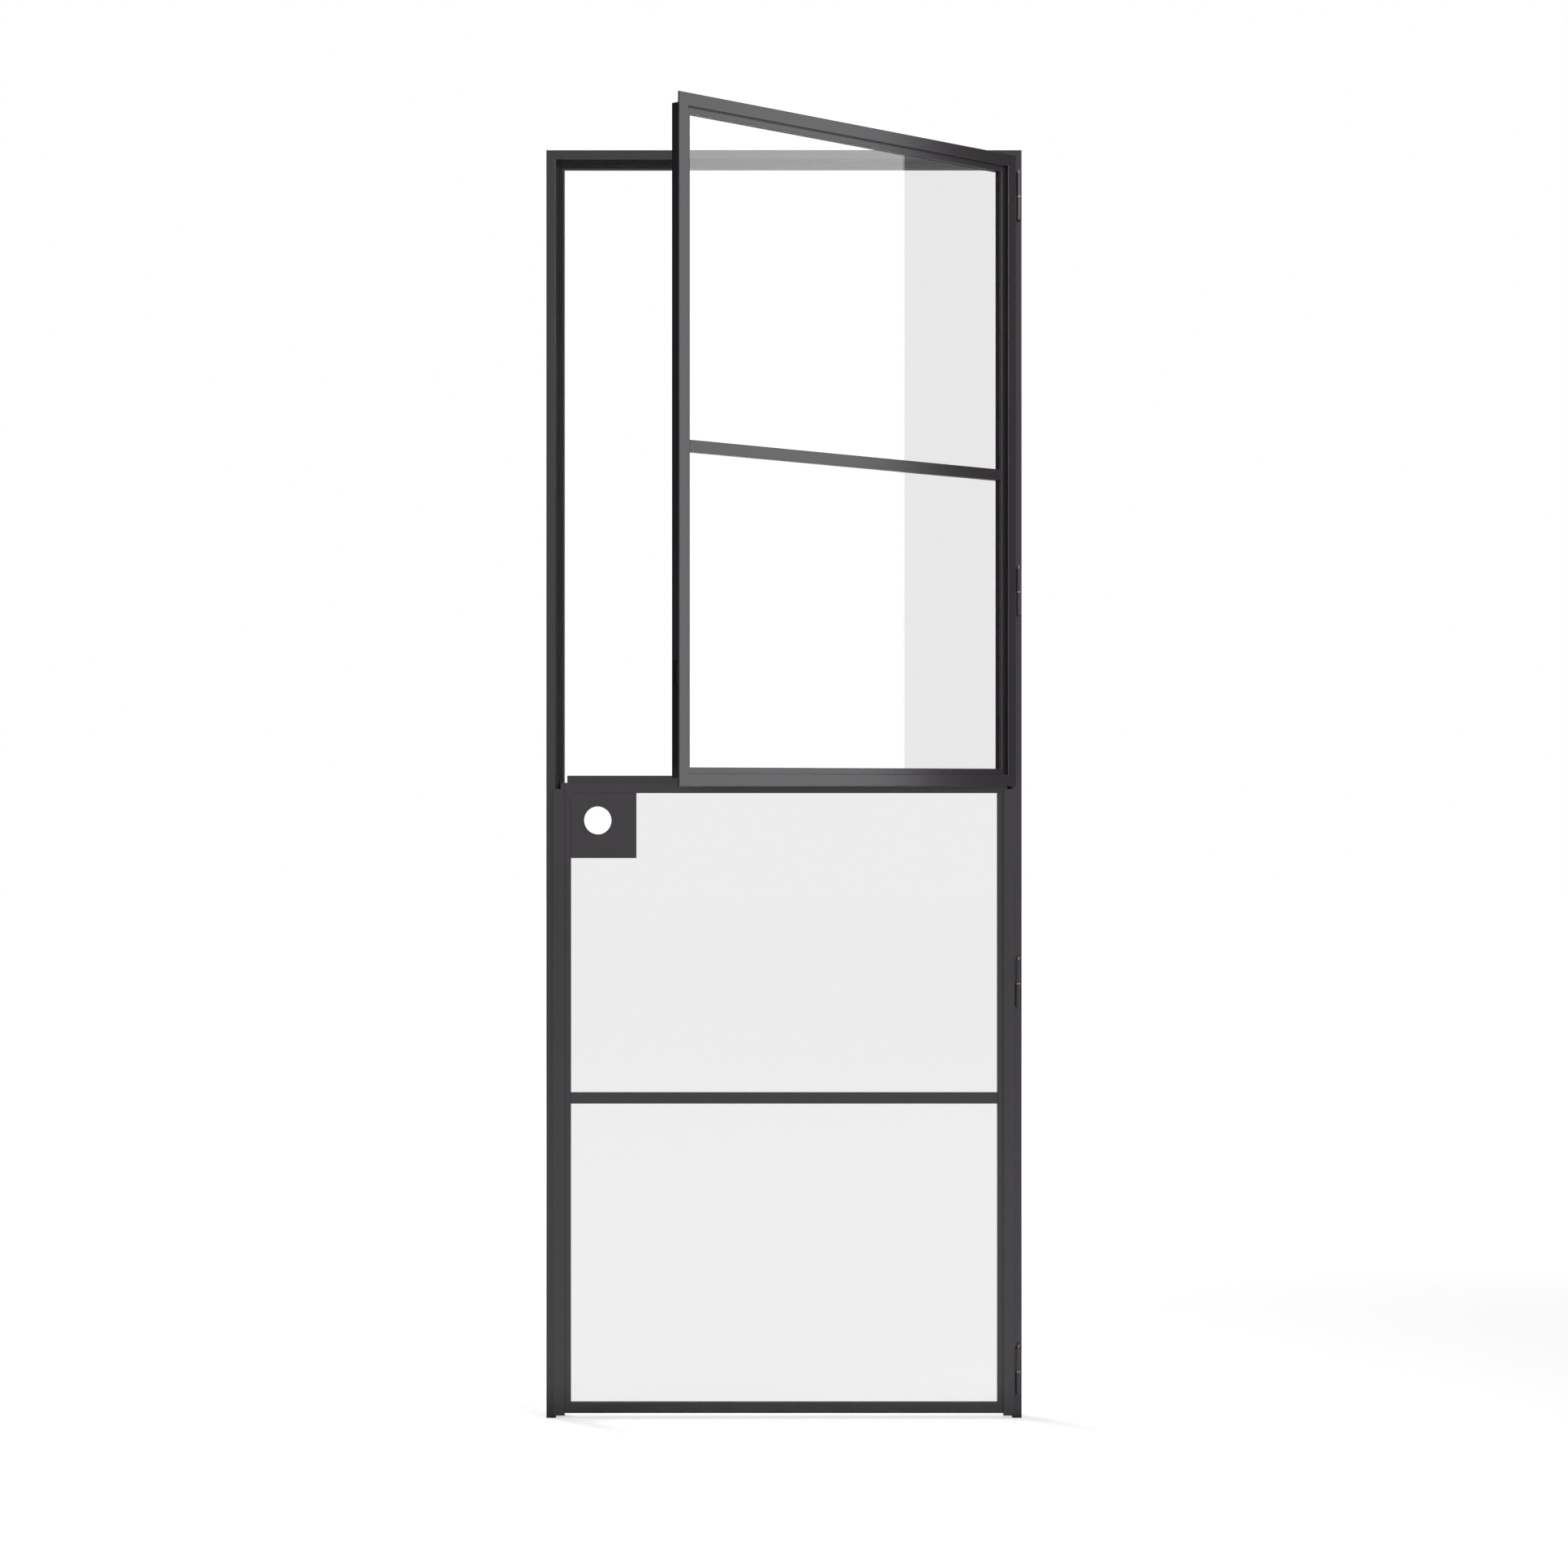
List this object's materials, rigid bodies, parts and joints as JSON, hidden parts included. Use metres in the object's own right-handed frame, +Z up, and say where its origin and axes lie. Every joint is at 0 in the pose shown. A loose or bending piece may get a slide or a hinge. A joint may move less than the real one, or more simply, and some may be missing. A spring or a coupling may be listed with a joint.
{
  "type": "glazed steel dutch door in its frame",
  "caption": "Slim steel framed dutch door with a glazed lower leaf and a glazed upper leaf that swing separately on barrel hinges, bored for a lock, in its own frame.",
  "frame": {"origin": "centre of the outer face of the hinge jamb, halfway up and halfway through the frame's depth", "axes": "+Z up, +X out of the hinge jamb's outer face and away from the door, +Y into the doorway, away from the side that the leaves open to"},
  "size_m": [0.9144, 0.6764, 2.4384],
  "materials": {
    "graphite_steel": "satin",
    "clear_glass": "clear",
    "black_rubber": "matte",
    "turned_brass": "satin",
    "black_steel": "satin"
  },
  "bodies": {
    "frame": {"hinge_jamb": "graphite_steel", "lock_jamb": "graphite_steel", "head": "graphite_steel", "hinge_jamb_stop": "graphite_steel", "lock_jamb_stop": "graphite_steel", "head_stop": "graphite_steel", "hinge_jamb_gasket": "black_rubber", "lock_jamb_gasket": "black_rubber", "head_gasket": "black_rubber", "bottom_jamb_knuckle": "graphite_steel", "lower_middle_jamb_knuckle": "graphite_steel", "upper_middle_jamb_knuckle": "graphite_steel", "top_jamb_knuckle": "graphite_steel", "hinge_washers": "turned_brass"},
    "lower_leaf": {"lower_lock_stile": "graphite_steel", "lower_hinge_stile": "graphite_steel", "lower_top_rail": "graphite_steel", "lower_bottom_rail": "graphite_steel", "lower_glazing_bar": "graphite_steel", "lower_leaf_top_pane": "clear_glass", "lower_leaf_bottom_pane": "clear_glass", "lower_side_beads": "graphite_steel", "lower_cross_beads": "graphite_steel", "lock_box": "graphite_steel", "meeting_stop": "graphite_steel", "bottom_leaf_knuckle": "graphite_steel", "lower_middle_leaf_knuckle": "graphite_steel", "lower_finials": "turned_brass"},
    "upper_leaf": {"upper_lock_stile": "graphite_steel", "upper_hinge_stile": "graphite_steel", "upper_top_rail": "graphite_steel", "upper_bottom_rail": "graphite_steel", "upper_glazing_bar": "graphite_steel", "upper_leaf_top_pane": "clear_glass", "upper_leaf_bottom_pane": "clear_glass", "upper_side_beads": "graphite_steel", "upper_cross_beads": "graphite_steel", "upper_bolt_plate": "black_steel", "upper_middle_leaf_knuckle": "graphite_steel", "top_leaf_knuckle": "graphite_steel", "upper_finials": "turned_brass"}
  },
  "joints": [
    {"name": "lower_swing", "type": "hinge", "parent": "frame", "child": "lower_leaf", "pos_m": [-0.0066, -0.0265, 0], "axis": [0, 0, 1], "range_deg": [0, 90]},
    {"name": "upper_swing", "type": "hinge", "parent": "lower_leaf", "child": "upper_leaf", "pos_m": [-0.0066, -0.0265, 0], "axis": [0, 0, 1], "range_deg": [-45, 45]}
  ]
}
